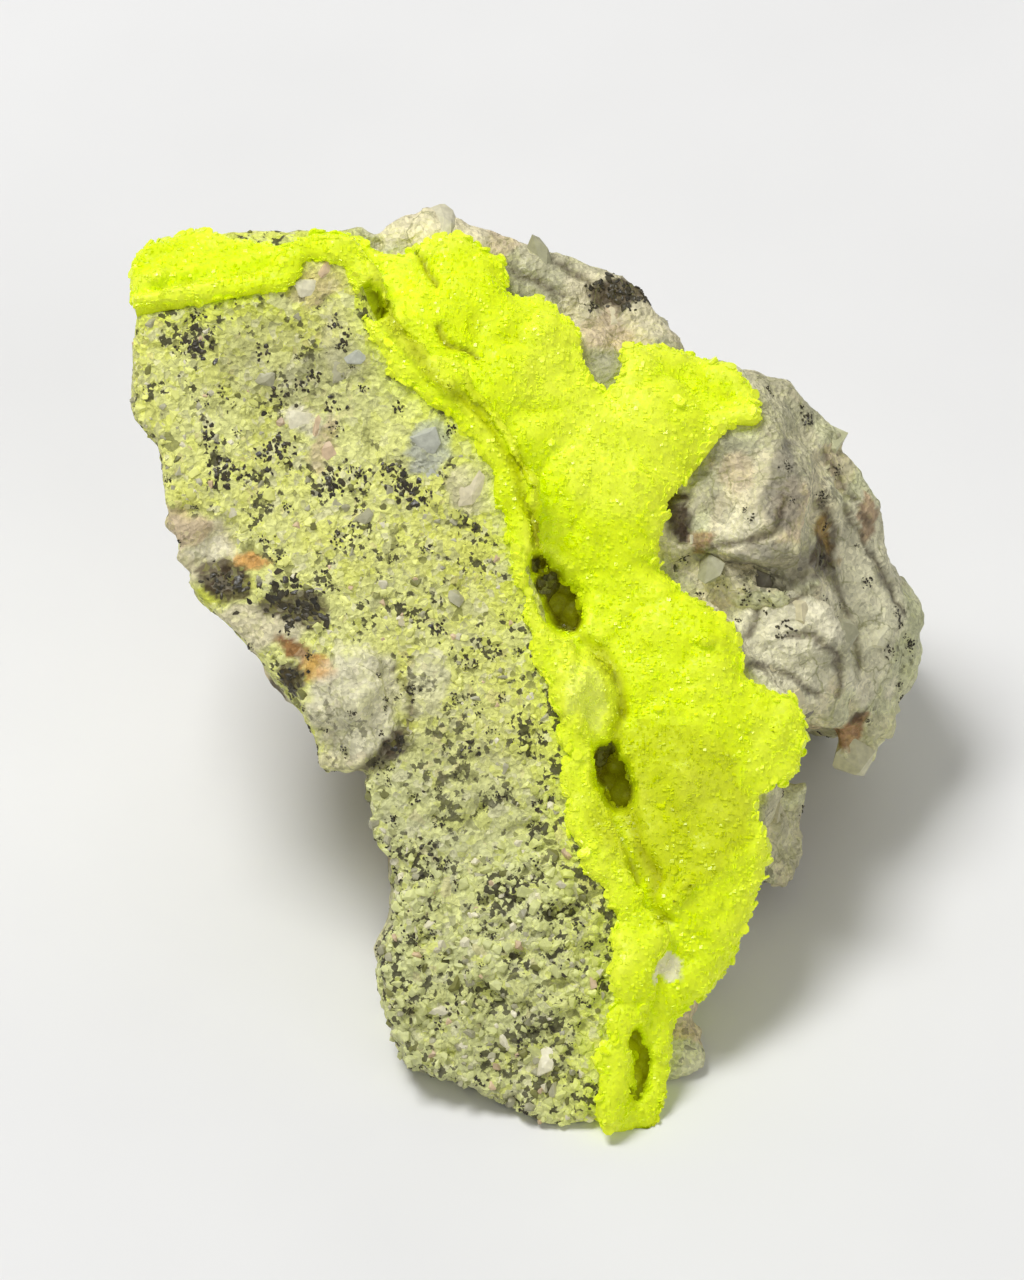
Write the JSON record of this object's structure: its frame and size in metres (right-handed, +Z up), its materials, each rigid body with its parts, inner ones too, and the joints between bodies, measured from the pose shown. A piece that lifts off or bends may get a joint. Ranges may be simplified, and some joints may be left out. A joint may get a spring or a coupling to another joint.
{
  "type": "autunite mineral specimen",
  "caption": "Hand specimen of pale granite and quartz with a lumpy crust of bright yellow-green autunite crystals running down the fracture in its front face.",
  "frame": {"origin": "middle of the underside of the specimen's box, on the surface it rests on", "axes": "+Z up from the flat broken base, -Y towards the viewer, +X to the viewer's right; the display face leans back by 45 degrees"},
  "size_m": [0.0794, 0.0818, 0.0648],
  "materials": {
    "granite": "rough broken rock with pale quartz and feldspar grains and dark mica flecks",
    "autunite": "velvety crust of tiny tabular crystals with a slight glow and small glints"
  },
  "bodies": {
    "root": {"granite_matrix": "granite", "autunite_crust": "autunite"}
  },
  "joints": []
}
